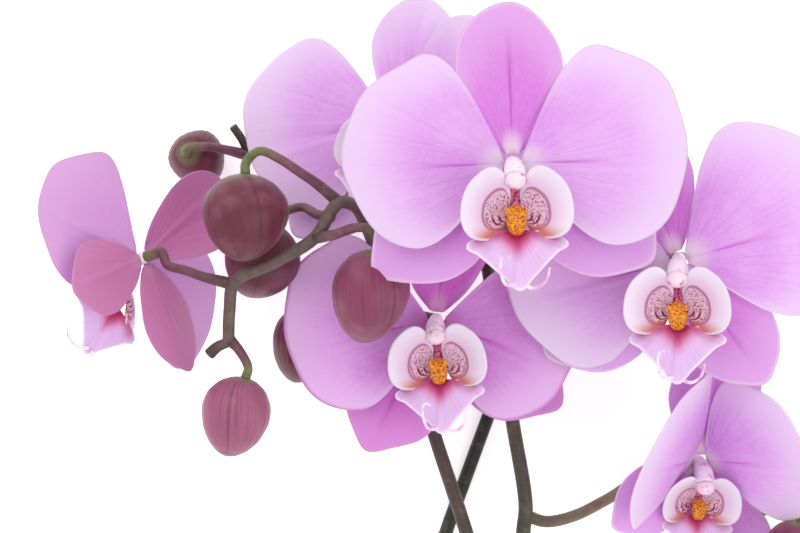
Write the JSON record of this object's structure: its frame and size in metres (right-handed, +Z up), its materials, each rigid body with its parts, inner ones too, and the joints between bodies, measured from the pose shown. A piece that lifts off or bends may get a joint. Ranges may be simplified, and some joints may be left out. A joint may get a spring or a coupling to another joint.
{
  "type": "cut orchid spray",
  "caption": "Cut moth orchid spray lying on a surface, with open pink flowers, dark buds and a branching stem.",
  "frame": {"origin": "middle of the spray's bounding box, on the surface it lies on", "axes": "+Z up from the surface, +Y along the spray from the cut end of the stem to the flowers, +X across it"},
  "size_m": [0.2412, 0.395, 0.1012],
  "materials": {
    "sepal": "soft satin petal skin, saturated pink with fine veins",
    "petal": "soft satin petal skin, pale lilac pink with fine veins and near-white rim",
    "lip": "waxy, white to pink with crimson, orange and speckles",
    "column": "waxy white",
    "anther_cap": "waxy white with a pink blush",
    "bud": "satin burgundy with fine veins and seams",
    "stem": "smooth satin, olive brown with mottling, green near the buds"
  },
  "bodies": {
    "root": {"flower1_dorsal_sepal": "sepal", "flower1_lateral_sepal_left": "sepal", "flower1_lateral_sepal_right": "sepal", "flower1_petal_left": "petal", "flower1_petal_right": "petal", "flower1_lip": "lip", "flower1_column": "column", "flower1_anther_cap": "anther_cap", "flower2_dorsal_sepal": "sepal", "flower2_lateral_sepal_left": "sepal", "flower2_lateral_sepal_right": "sepal", "flower2_petal_left": "petal", "flower2_petal_right": "petal", "flower2_lip": "lip", "flower2_column": "column", "flower2_anther_cap": "anther_cap", "flower3_dorsal_sepal": "sepal", "flower3_lateral_sepal_left": "sepal", "flower3_lateral_sepal_right": "sepal", "flower3_petal_left": "petal", "flower3_petal_right": "petal", "flower3_lip": "lip", "flower3_column": "column", "flower3_anther_cap": "anther_cap", "flower4_dorsal_sepal": "sepal", "flower4_lateral_sepal_left": "sepal", "flower4_lateral_sepal_right": "sepal", "flower4_petal_left": "petal", "flower4_petal_right": "petal", "flower4_lip": "lip", "flower4_column": "column", "flower4_anther_cap": "anther_cap", "flower5_dorsal_sepal": "sepal", "flower5_lateral_sepal_left": "sepal", "flower5_lateral_sepal_right": "sepal", "flower5_petal_left": "petal", "flower5_petal_right": "petal", "flower5_lip": "lip", "flower5_column": "column", "flower5_anther_cap": "anther_cap", "flower6_dorsal_sepal": "sepal", "flower6_lateral_sepal_left": "sepal", "flower6_lateral_sepal_right": "sepal", "flower6_petal_left": "petal", "flower6_petal_right": "petal", "flower6_lip": "lip", "flower6_column": "column", "flower6_anther_cap": "anther_cap", "bud1": "bud", "bud2": "bud", "bud3": "bud", "bud4": "bud", "bud5": "bud", "bud6": "bud", "bud7": "bud", "stem": "stem"}
  },
  "joints": []
}
